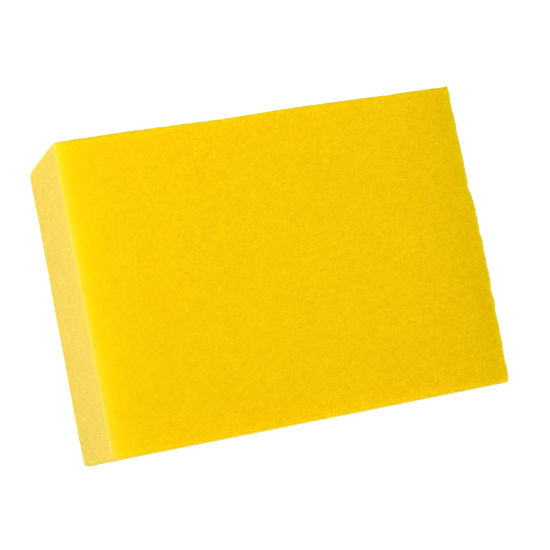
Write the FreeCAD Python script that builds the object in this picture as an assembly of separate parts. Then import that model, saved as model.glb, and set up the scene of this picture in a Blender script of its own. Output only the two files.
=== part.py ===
"""Foam sponge block for painting and decorating work.

One block of fine-celled yellow polyurethane foam, cut from slab stock. It lies on one of its two broad
faces. Nothing is bonded to it, nothing is set into it and nothing holds it: it has no handle, no core and
no backing, so the whole object is one piece.

Frame, in millimetres: origin at the middle of the face it rests on, +X along the length, +Y across the
width, +Z up through the thickness.
"""

import FreeCAD
import Part
import os

LENGTH = 160.0  # along X
WIDTH = 119.0  # along Y
THICKNESS = 60.0  # along Z
EDGE_RADIUS = 1.5  # a knife-cut foam edge relaxes into a small round


def foam_block():
    """The block, standing on the XY plane, with all twelve edges and eight corners softened alike."""
    low_corner = FreeCAD.Vector(-LENGTH / 2, -WIDTH / 2, 0)
    blank = Part.makeBox(LENGTH, WIDTH, THICKNESS, low_corner)
    return blank.makeFillet(EDGE_RADIUS, blank.Edges)


def export(name, shape):
    """Writes one closed solid to parts/NAME.step, after checking that it is sound."""
    if not (shape.isValid() and shape.isClosed() and shape.Volume > 0):
        raise ValueError(f"{name} is not a sound closed solid")
    shape.exportStep(f"parts/{name}.step")
    box = shape.BoundBox
    print(f"{name}: {box.XLength:.2f} x {box.YLength:.2f} x {box.ZLength:.2f} mm, {shape.Volume:.0f} mm3")


os.makedirs("parts", exist_ok=True)
export("foam_block", foam_block())
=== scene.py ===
import math

import bpy
import numpy as np
from mathutils import Matrix, Vector


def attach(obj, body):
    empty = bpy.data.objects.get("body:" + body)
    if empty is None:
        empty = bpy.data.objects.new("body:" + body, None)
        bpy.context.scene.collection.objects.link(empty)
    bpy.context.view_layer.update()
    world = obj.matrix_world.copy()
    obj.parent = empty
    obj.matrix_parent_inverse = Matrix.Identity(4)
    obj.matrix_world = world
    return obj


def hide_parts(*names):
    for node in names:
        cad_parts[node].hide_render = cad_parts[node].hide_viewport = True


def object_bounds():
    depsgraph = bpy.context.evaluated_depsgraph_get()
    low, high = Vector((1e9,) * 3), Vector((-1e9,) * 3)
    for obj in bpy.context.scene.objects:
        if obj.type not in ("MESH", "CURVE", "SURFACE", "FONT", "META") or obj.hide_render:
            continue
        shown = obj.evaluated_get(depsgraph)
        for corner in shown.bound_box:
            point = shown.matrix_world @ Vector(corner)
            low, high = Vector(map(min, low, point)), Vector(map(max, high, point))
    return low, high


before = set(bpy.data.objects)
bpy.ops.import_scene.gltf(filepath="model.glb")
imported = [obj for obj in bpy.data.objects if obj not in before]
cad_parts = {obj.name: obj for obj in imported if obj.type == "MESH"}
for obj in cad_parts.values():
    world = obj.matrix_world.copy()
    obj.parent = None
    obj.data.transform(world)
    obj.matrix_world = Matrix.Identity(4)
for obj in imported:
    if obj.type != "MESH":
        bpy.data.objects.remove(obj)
cad_low, cad_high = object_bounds()

# The foam block is the whole sponge: one piece of fine-celled yellow polyurethane foam, with nothing fixed to
# it. A band knife splits it from the slab and a second cut brings it to length, so its broad faces are nearly
# flat, its arrises are soft, and the end that is cut last is the least straight.
#
# In the names below, a lump is the size of the random lumps that shape a thing, and a reach is how far from
# its place it fades away.
MM = 0.001
LATTICE_STEP = 0.85 * MM
LATTICE_JITTER = 0.16 * MM
JITTER_START = 0.8 * MM
JITTER_END = 2.5 * MM
ARRIS_RADIUS = 0.4 * MM
ARRIS_CHANGE = 0.25 * MM
ARRIS_LUMP = 22 * MM
ARRIS_WEAR = 0.6 * MM
CORNER_WEAR = 1.0 * MM
CORNER_REACH = 6 * MM
TORN_REACH = 1.3 * MM
TORN_DEPTH = 0.4 * MM
TORN_LUMP = 1.9 * MM
LONG_WAVE = 0.17 * MM
LONG_WAVE_LUMP = 36 * MM
SHORT_WAVE = 0.09 * MM
SHORT_WAVE_LUMP = 13 * MM
PIT_DEPTH = 0.09 * MM
PIT_SPACING = 1.5 * MM
NAP_HEIGHT = 0.05 * MM
NAP_LUMP = 0.95 * MM
CUT_REACH = 14 * MM


def marks(low, high, step):
    """Places along one edge of the block, closer together near both ends, where the arrises are. u runs
    evenly from -1 to 1, and a mark lies 0.7 u + 0.3 sin(90 degrees times u) half lengths from the middle."""
    u = np.linspace(-1, 1, round((high - low) / step) + 1)
    return (low + high) / 2 + (high - low) / 2 * (0.7 * u + 0.3 * np.sin(np.pi / 2 * u))


def box_surface(sides):
    """The six faces of a box as one closed sheet. A face is the grid of the marks u and v on two sides, at
    one end of the third, and a corner that faces share becomes one vertex. Gives points and quads."""
    counts = [len(side) for side in sides]
    quads = []
    for axis in range(3):
        across, along = (axis + 1) % 3, (axis + 2) % 3
        u, v = np.meshgrid(range(counts[across]), range(counts[along]), indexing="ij")
        for end in (0, counts[axis] - 1):
            mark = [None] * 3
            mark[axis], mark[across], mark[along] = np.full_like(u, end), u, v
            key = np.ravel_multi_index(mark, counts)
            ring = [key[:-1, :-1], key[1:, :-1], key[1:, 1:], key[:-1, 1:]]
            quads.append(np.stack(ring if end else ring[::-1], -1).reshape(-1, 4))
    keys, corners = np.unique(np.concatenate(quads), return_inverse=True)
    mark = np.unravel_index(keys, counts)
    points = np.stack([side[m] for side, m in zip(sides, mark)], -1)
    return points, corners.reshape(-1, 4)


def lumps(points, size, seed):
    """Smooth random lumps about size across, from -1 to 1: random numbers on a lattice of that spacing, each
    point taking a blend of the eight around it, with weights 3t^2 - 2t^3 along each axis."""
    place = points / size
    cell = np.floor(place).astype(int)
    t = place - cell
    t = t * t * (3 - 2 * t)
    cell -= cell.min(0)
    values = np.random.default_rng(seed).uniform(-1, 1, cell.max(0) + 2)
    total = np.zeros(len(points))
    for corner in np.ndindex(2, 2, 2):
        weight = np.where(corner, t, 1 - t).prod(1)
        total += weight * values[tuple((cell + corner).T)]
    return total


def nearest_centre(points, size, seed):
    """How far each point is from the nearest foam cell's centre, in cell sizes. One centre lies at random in
    each cube of a lattice, and the 27 cubes round a point are searched."""
    place = points / size
    cube = np.floor(place).astype(int)
    low = cube.min(0) - 1
    centres = np.random.default_rng(seed).random((*(cube.max(0) + 2 - low), 3))
    best = np.full(len(points), np.inf)
    for step in np.ndindex(3, 3, 3):
        found = cube + step - 1
        centre = found + centres[tuple((found - low).T)]
        best = np.minimum(best, ((place - centre) ** 2).sum(1))
    return np.sqrt(best)


def smooth_step(x, start, end):
    """0 before start, 1 after end, and 3t^2 - 2t^3 between them."""
    t = np.clip((x - start) / (end - start), 0, 1)
    return t * t * (3 - 2 * t)


CUT_SET_BACK = 0.57 * MM
CUT_START = -0.08 * MM
NICK_DEPTH = 0.5 * MM
NICK_PLACE = 0.345
NICK_WIDTH = 0.012
STEP_START = 0.355
STEP_END = 0.385
BOW_HEIGHT = 0.74 * MM
BOW_FALL = 5.2 * MM
BOW_PLACE = 0.55
CHATTER_HEIGHT = 0.14 * MM
CHATTER_ARCHES = 13
SWAY_HEIGHT = 0.1 * MM
SWAY_RADIANS = 61


def last_cut(across):
    """How far the end that is cut last stands out along X, with across from 0 to 1 over the width. The knife
    starts a little short and makes a bell-shaped nick, steps out on a smooth step, and then runs in a shallow
    bow, a parabola. The blade's chatter is a row of arches, |sin|, and a sine of nearly ten waves."""
    start = CUT_START - NICK_DEPTH * np.exp(-(((across - NICK_PLACE) / NICK_WIDTH) ** 2))
    bow = BOW_HEIGHT - BOW_FALL * (across - BOW_PLACE) ** 2
    arches = CHATTER_HEIGHT * np.abs(np.sin(np.pi * across * CHATTER_ARCHES))
    chatter = arches + SWAY_HEIGHT * np.sin(across * SWAY_RADIANS)
    return start + (bow - start) * smooth_step(across, STEP_START, STEP_END) + chatter - CUT_SET_BACK


GIVE_HEIGHT = 0.3 * MM
GIVE_LENGTH = 0.48
GIVE_CREST = 0.62
GIVE_SPREAD = 0.22


def wavy_cut(along):
    """How far one long side stands out along Y, where the foam gave way under the knife, with along from 0 to
    1 over the length: a cosine with its crest and length given, times exp(-((along - 0.5) / spread)^2)."""
    bell = np.exp(-(((along - 0.5) / GIVE_SPREAD) ** 2))
    return GIVE_HEIGHT * bell * np.cos(2 * np.pi * (along - GIVE_CREST) / GIVE_LENGTH)


low, high = np.array(cad_low), np.array(cad_high)
points, quads = box_surface([marks(low[k], high[k], LATTICE_STEP) for k in range(3)])

# Each point is pulled to the nearest point of a core box, smaller all round by the arris radius, and moved
# out from there by that radius, which grows towards the older end and most at its corners, because they rub
# off first. The way it moves is the surface's normal.
from_end = np.minimum(points - low, high - points)
from_corner = np.linalg.norm(from_end, axis=1)
from_arris = np.sort(from_end, axis=1)[:, 1]
worn_end = 1 - smooth_step(points[:, 0], low[0], high[0])
radius = ARRIS_RADIUS + ARRIS_CHANGE * lumps(points, ARRIS_LUMP, seed=11)
radius += worn_end * (ARRIS_WEAR + CORNER_WEAR * np.exp(-((from_corner / CORNER_REACH) ** 2)))
radius = radius[:, None]
core = np.clip(points, low + radius, high - radius)
normal = points - core
normal /= np.linalg.norm(normal, axis=1, keepdims=True)
skin = core + radius * normal

# The knife's waviness, torn cells along the arrises, and the pits and the nap of the cut cells, all along the
# normal. Tears are the lumps above 0.1, and fade from the arris as exp(-(d / reach)^2).
wave = LONG_WAVE * lumps(skin, LONG_WAVE_LUMP, seed=21) + SHORT_WAVE * lumps(skin, SHORT_WAVE_LUMP, seed=22)
torn = np.clip(lumps(skin, TORN_LUMP, seed=23) - 0.1, 0, 1) * np.exp(-((from_arris / TORN_REACH) ** 2))
pits = PIT_DEPTH * (nearest_centre(skin, PIT_SPACING, seed=24) - 0.5)
nap = NAP_HEIGHT * lumps(skin, NAP_LUMP, seed=25)
height = wave - TORN_DEPTH * torn + pits + nap

# The lattice points wander sideways a little, away from the arrises, so that no row of them shows.
sideways = np.random.default_rng(31).uniform(-1, 1, skin.shape) * LATTICE_JITTER
sideways -= (sideways * normal).sum(1, keepdims=True) * normal
sideways *= smooth_step(from_arris, JITTER_START, JITTER_END)[:, None]
skin += height[:, None] * normal + sideways

# The two uneven cuts move their own side, and the foam up to their reach behind it less and less. Nothing
# sinks below the surface that the block lies on.
across = (high[1] - skin[:, 1]) / (high[1] - low[1])
along = (skin[:, 0] - low[0]) / (high[0] - low[0])
skin[:, 0] += last_cut(across) * smooth_step(skin[:, 0], high[0] - CUT_REACH, high[0] - MM)
skin[:, 1] += wavy_cut(along) * smooth_step(skin[:, 1], high[1] - CUT_REACH, high[1] - MM)
skin[:, 2] = np.maximum(skin[:, 2], low[2])

mesh = bpy.data.meshes.new("sponge_block")
mesh.from_pydata(skin, [], quads)
mesh.shade_smooth()

# Painted light at the two ends of the broad faces. Towards the older end, on the window's side, they are
# painted a lighter lemon yellow, a painted glow of the light that bleeds in from the lit end; towards the end
# that was cut last they are painted a deeper golden yellow, painted shade where less light falls. The share
# of each is exp(-d / reach) at a distance d from its end.
PAINTED_GLOW_REACH = 9 * MM
PAINTED_SHADE_REACH = 12 * MM
from_old, from_new = points[:, 0] - low[0], high[0] - points[:, 0]
painted_glow = np.exp(-from_old / PAINTED_GLOW_REACH)
painted_end_shade = np.exp(-from_new / PAINTED_SHADE_REACH)

# The narrow sides are painted paler than the broad faces, whiter and with more blue: a painted sheen, the
# whitish veil that the foam's side shows when seen at a grazing angle. Their share is 1 on a narrow side, and
# on a broad face it is exp(-(d / reach)^1.2) at a distance d from that side. It reaches furthest from the
# older end, on the window's side, where it is a painted highlight along the lit arris.
PAINTED_HIGHLIGHT_REACH = 1.1 * MM
PALE_RIM = 0.25 * MM
from_cut = np.minimum(from_new, from_end[:, 1])
narrow = np.exp(-(np.minimum(from_old / PAINTED_HIGHLIGHT_REACH, from_cut / PALE_RIM) ** 1.2))

# Painted shade along the arrises: a darker rim where the arris turns away from the light, with a share of
# exp(-(d / reach)^2) at a distance d from the arris. The older end's arris is rounder, so its painted shade
# is weaker and reaches further.
SHADE_SHARE = 0.8
SHADE_LOST = 0.5
SHADE_REACH = 0.7 * MM
shade_reach = SHADE_REACH * (1 + painted_glow)
shade = (SHADE_SHARE - SHADE_LOST * painted_glow) * np.exp(-((from_arris / shade_reach) ** 2))

shares = {"painted_glow_end": painted_glow, "painted_shade_end": painted_end_shade, "painted_sheen_side": narrow, "painted_arris_shade": shade}
for name, share in shares.items():
    mesh.attributes.new(name, "FLOAT", "POINT").data.foreach_set("value", share)
sponge_block = bpy.data.objects.new("sponge_block", mesh)
bpy.context.scene.collection.objects.link(sponge_block)


class Wire:
    """A socket that gives a value in a node tree. Arithmetic on wires and numbers adds Math nodes."""

    def __init__(self, socket):
        self.socket = socket

    @staticmethod
    def node(tree, kind, settings, inputs, output=0):
        """A new node of that kind, with its settings set first and then its inputs, each a wire or a plain
        value, by name or by number. Gives the wire of the output asked for."""
        made = tree.nodes.new("ShaderNode" + kind)
        for name, value in settings.items():
            setattr(made, name, value)
        for name, value in inputs.items():
            if isinstance(value, Wire):
                tree.links.new(value.socket, made.inputs[name])
            else:
                made.inputs[name].default_value = value
        return Wire(made.outputs[output])

    def maths(self, operation, first, second):
        return Wire.node(self.socket.id_data, "Math", {"operation": operation}, {0: first, 1: second})

    def __add__(self, other):
        return self.maths("ADD", self, other)

    __radd__ = __add__

    def __sub__(self, other):
        return self.maths("SUBTRACT", self, other)

    def __rsub__(self, other):
        return self.maths("SUBTRACT", other, self)

    def __mul__(self, other):
        return self.maths("MULTIPLY", self, other)

    __rmul__ = __mul__

    def __pow__(self, other):
        return self.maths("POWER", self, other)


def blend(tree, share, first, second):
    """The first colour where share is 0 and the second where it is 1."""
    inputs = {0: share, 6: first, 7: second}
    return Wire.node(tree, "Mix", {"data_type": "RGBA"}, inputs, 2)


def fade(tree, value, start, end):
    """1 where value is at start, falling smoothly to 0 where it is at end."""
    inputs = {0: value, 1: start, 2: end, 3: 1.0, 4: 0.0}
    return Wire.node(tree, "MapRange", {"interpolation_type": "SMOOTHSTEP"}, inputs)


CELL_SIZE = 0.75 * MM
SPECK_SIZE = 1.6 * MM
CLOUD_SIZE = 11 * MM
STRUT_INSIDE = 0.02
STRUT_OUTSIDE = 0.22

# How much lighter a strut, one cell's own tone, a speck and a cloud make the foam, from the cell's colour at
# 0 to the strut's at 1, and the levels that the sums are brought to. The grain is weaker towards the end with
# the painted glow, with the glow's share to the power 0.25 as the share, which reaches four times as far as
# the glow.
STRUT_LIGHT = 0.3
TONE_LIGHT = 0.34
SPECK_LIGHT = 0.3
SIDE_SPECK_LIGHT = 0.35
CLOUD_LIGHT = 0.2
GRAIN_MIDDLE = 0.42
GRAIN_LOST = 0.7
FACE_LEVEL = 0.35
SIDE_LEVEL = -0.1

CELL_SHADE = (0.85, 0.5, 0.0, 1)
STRUT_YELLOW = (1.0, 0.69, 0.001, 1)
# Colours of the narrow sides: paler and bluer than the broad faces, a painted sheen.
SIDE_CELL = (0.74, 0.45, 0.04, 1)
SIDE_STRUT = (1.0, 0.72, 0.115, 1)
# Painted shade: the deeper golden yellow towards the end away from the window.
PAINTED_SHADE_CELL = (0.68, 0.44, 0.0, 1)
PAINTED_SHADE_STRUT = (0.82, 0.62, 0.001, 1)
# Painted glow: the lighter lemon yellow towards the end on the window's side.
PAINTED_GLOW_CELL = (0.86, 0.62, 0.0, 1)
PAINTED_GLOW_STRUT = (1.0, 0.82, 0.001, 1)
# Painted shade along the arrises.
PAINTED_ARRIS_SHADE = (0.47, 0.41, 0.0, 1)

STRUT_RISE = 0.6
TONE_RISE = 0.25
SPECK_RISE = 0.5
RELIEF_HEIGHT = 0.16 * MM
RELIEF_STRENGTH = 0.6
CELL_ROUGHNESS = 0.98
STRUT_SMOOTHING = 0.1
GLOSS = 0.02
SHEEN = 0.2
SHEEN_YELLOW = (1.0, 0.8, 0.1, 1)
SHEEN_SPREAD = 0.4
GLOW_DEPTH = 8 * MM
GLOW_SHARE = 0.75
GLOW_REACH = (1.0, 0.85, 0.15)


def foam_material():
    """Open foam cells cut through: a net of pale struts round cells that are each a little lighter or darker,
    with specks of torn wall and faint clouds of denser foam. The broad faces are painted a lighter lemon at
    the end on the window's side, a painted glow, and a deeper golden at the other end, painted shade; the
    narrow sides are painted paler, a painted sheen, and the arrises hold painted shade. Light scatters deep
    in the foam, and its nap has a faint sheen."""
    material = bpy.data.materials.new("foam")
    material.use_nodes = True
    tree = material.node_tree
    shader = tree.nodes["Principled BSDF"]
    side, painted_glow, painted_end_shade, shade = [
        Wire.node(tree, "Attribute", {"attribute_name": name}, {}, "Fac")
        for name in ("painted_sheen_side", "painted_glow_end", "painted_shade_end", "painted_arris_shade")
    ]

    place = Wire.node(tree, "TexCoord", {}, {}, "Object")
    cells = {"Vector": place, "Scale": 1 / CELL_SIZE}
    to_wall = Wire.node(tree, "TexVoronoi", {"feature": "DISTANCE_TO_EDGE"}, cells)
    strut = fade(tree, to_wall, STRUT_INSIDE, STRUT_OUTSIDE)
    one_cell = Wire.node(tree, "TexVoronoi", {"feature": "F1"}, cells, "Color")
    tone = Wire.node(tree, "SeparateColor", {}, {0: one_cell}, 0)
    speck = Wire.node(tree, "TexNoise", {}, {"Vector": place, "Scale": 1 / SPECK_SIZE, "Detail": 2.0})
    cloud = Wire.node(tree, "TexNoise", {}, {"Vector": place, "Scale": 1 / CLOUD_SIZE, "Detail": 3.0})

    net = STRUT_LIGHT * strut + TONE_LIGHT * tone
    grain = net + SPECK_LIGHT * speck - GRAIN_MIDDLE
    # The grain is weaker where the glow is painted.
    light = grain * (1 - GRAIN_LOST * painted_glow**0.25) + CLOUD_LIGHT * cloud + FACE_LEVEL
    plain_face = blend(tree, light, CELL_SHADE, STRUT_YELLOW)
    # The deeper golden face is painted shade.
    painted_shade_face = blend(tree, light, PAINTED_SHADE_CELL, PAINTED_SHADE_STRUT)
    # The lighter lemon face is a painted glow.
    painted_glow_face = blend(tree, light, PAINTED_GLOW_CELL, PAINTED_GLOW_STRUT)
    broad_face = blend(tree, painted_glow, blend(tree, painted_end_shade, plain_face, painted_shade_face), painted_glow_face)
    # Painted shade along the arrises.
    broad_face = blend(tree, shade, broad_face, PAINTED_ARRIS_SHADE)
    side_light = net + SIDE_SPECK_LIGHT * speck + CLOUD_LIGHT * cloud + SIDE_LEVEL
    # The narrow sides' paler colour is a painted sheen.
    narrow_face = blend(tree, side_light, SIDE_CELL, SIDE_STRUT)
    colour = blend(tree, side, broad_face, narrow_face)
    roughness = CELL_ROUGHNESS - STRUT_SMOOTHING * strut
    rise = STRUT_RISE * strut + TONE_RISE * tone + SPECK_RISE * speck
    relief = {"Height": rise, "Distance": RELIEF_HEIGHT, "Strength": RELIEF_STRENGTH}

    tree.links.new(colour.socket, shader.inputs["Base Color"])
    tree.links.new(roughness.socket, shader.inputs["Roughness"])
    tree.links.new(Wire.node(tree, "Bump", {}, relief).socket, shader.inputs["Normal"])
    shader.inputs["Specular IOR Level"].default_value = GLOSS
    shader.inputs["Sheen Weight"].default_value = SHEEN
    shader.inputs["Sheen Tint"].default_value = SHEEN_YELLOW
    shader.inputs["Sheen Roughness"].default_value = SHEEN_SPREAD
    shader.inputs["Subsurface Weight"].default_value = GLOW_SHARE
    shader.inputs["Subsurface Radius"].default_value = GLOW_REACH
    shader.inputs["Subsurface Scale"].default_value = GLOW_DEPTH
    return material


mesh.materials.append(foam_material())
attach(sponge_block, "root")
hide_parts("foam_block")

# The studio's floor is plain white and glows by itself, so that it looks the same all over. It is hidden
# from the diffuse light, so that its glow doesn't light the block: the lower half of the sky gives the light
# that a white floor throws back.
FLOOR_SIZE = 120.0
FLOOR_GAP = 0.02 * MM
FLOOR_WHITE = 0.18
FLOOR_GLOW = 0.95
half = FLOOR_SIZE / 2
floor_corners = [(-half, -half, 0), (half, -half, 0), (half, half, 0), (-half, half, 0)]
floor_mesh = bpy.data.meshes.new("floor")
floor_mesh.from_pydata(floor_corners, [], [(0, 1, 2, 3)])
floor = bpy.data.objects.new("floor", floor_mesh)
floor.location.z = cad_low.z - FLOOR_GAP
bpy.context.scene.collection.objects.link(floor)
floor.visible_diffuse = False
white = bpy.data.materials.new("floor_white")
white.use_nodes = True
white_shader = white.node_tree.nodes["Principled BSDF"]
white_shader.inputs["Base Color"].default_value = (FLOOR_WHITE, FLOOR_WHITE, FLOOR_WHITE, 1)
white_shader.inputs["Roughness"].default_value = 1.0
white_shader.inputs["Specular IOR Level"].default_value = 0.0
white_shader.inputs["Emission Color"].default_value = (1, 1, 1, 1)
white_shader.inputs["Emission Strength"].default_value = FLOOR_GLOW
floor_mesh.materials.append(white)

# The sky is white and dim overhead, and brighter near the horizon and below it. The heights are those of a
# direction one unit long, and the light changes smoothly between the two of a pair.
SKY_LIGHT = 0.35
HORIZON_LIGHT = 1.0
HORIZON_HEIGHTS = 0.16, 0.3
BOUNCE_LIGHT = 0.85
BOUNCE_HEIGHTS = -0.03, -0.01
world = bpy.data.worlds.new("sky")
world.use_nodes = True
sky = world.node_tree
direction = Wire.node(sky, "TexCoord", {}, {}, "Generated")
upwards = Wire.node(sky, "SeparateXYZ", {}, {0: direction}, "Z")
low_in_the_sky = fade(sky, upwards, *HORIZON_HEIGHTS)
underneath = fade(sky, upwards, *BOUNCE_HEIGHTS)
sky_light = SKY_LIGHT + (HORIZON_LIGHT - SKY_LIGHT) * low_in_the_sky
sky_light = sky_light + (BOUNCE_LIGHT - HORIZON_LIGHT) * underneath
sky.nodes["Background"].inputs["Color"].default_value = (1, 1, 1, 1)
sky.links.new(sky_light.socket, sky.nodes["Background"].inputs["Strength"])
bpy.context.scene.world = world


# Two soft square lights: a large window high on the left, and a broad fill low on the right, which keeps the
# sides that the window misses yellow.
def soft_light(name, azimuth, elevation, distance, size, spread, power, target):
    """A square light that looks at the target from that side, in degrees, with azimuth 0 in front of the
    block, on -Y, and 90 on +X. The spread, in degrees, is the angle at which its beam has faded out."""
    lamp = bpy.data.lights.new(name, "AREA")
    lamp.size = size
    lamp.spread = math.radians(spread)
    lamp.energy = power
    a, e = math.radians(azimuth), math.radians(elevation)
    back = Vector((math.sin(a) * math.cos(e), -math.cos(a) * math.cos(e), math.sin(e)))
    light = bpy.data.objects.new(name, lamp)
    light.location = target + back * distance
    light.rotation_euler = back.to_track_quat("Z", "Y").to_euler()
    bpy.context.scene.collection.objects.link(light)


middle = (cad_low + cad_high) / 2
beside = middle + Vector((-20 * MM, 60 * MM, 0))
soft_light("window", azimuth=-105, elevation=50, distance=1.0, size=0.5, spread=60, power=1.19, target=beside)
soft_light("fill", azimuth=40, elevation=8, distance=1.5, size=0.8, spread=120, power=6.0, target=middle)

# The camera looks down on the block from its left end, turned so that the long side runs across the picture,
# and aims at a place on the upper broad face a little to the left of its middle and in front of it.
CAMERA_AZIMUTH, CAMERA_ELEVATION, CAMERA_ROLL = -74.27, 71.75, 63.70
CAMERA_DISTANCE = 0.642
LENS = 111.7
AIM_X, AIM_Y = -6.1 * MM, -2.8 * MM
camera_data = bpy.data.cameras.new("camera")
camera_data.lens = LENS
camera = bpy.data.objects.new("camera", camera_data)
aim = Vector((middle.x + AIM_X, middle.y + AIM_Y, cad_high.z))
azimuth, elevation = math.radians(CAMERA_AZIMUTH), math.radians(CAMERA_ELEVATION)
level = math.cos(elevation)
back = Vector((math.sin(azimuth) * level, -math.cos(azimuth) * level, math.sin(elevation)))
turn = back.to_track_quat("Z", "Y").to_matrix().to_4x4()
roll = Matrix.Rotation(math.radians(CAMERA_ROLL), 4, "Z")
camera.matrix_world = Matrix.Translation(aim + back * CAMERA_DISTANCE) @ turn @ roll
bpy.context.scene.collection.objects.link(camera)
bpy.context.scene.camera = camera
bpy.context.scene.view_settings.view_transform = "Standard"
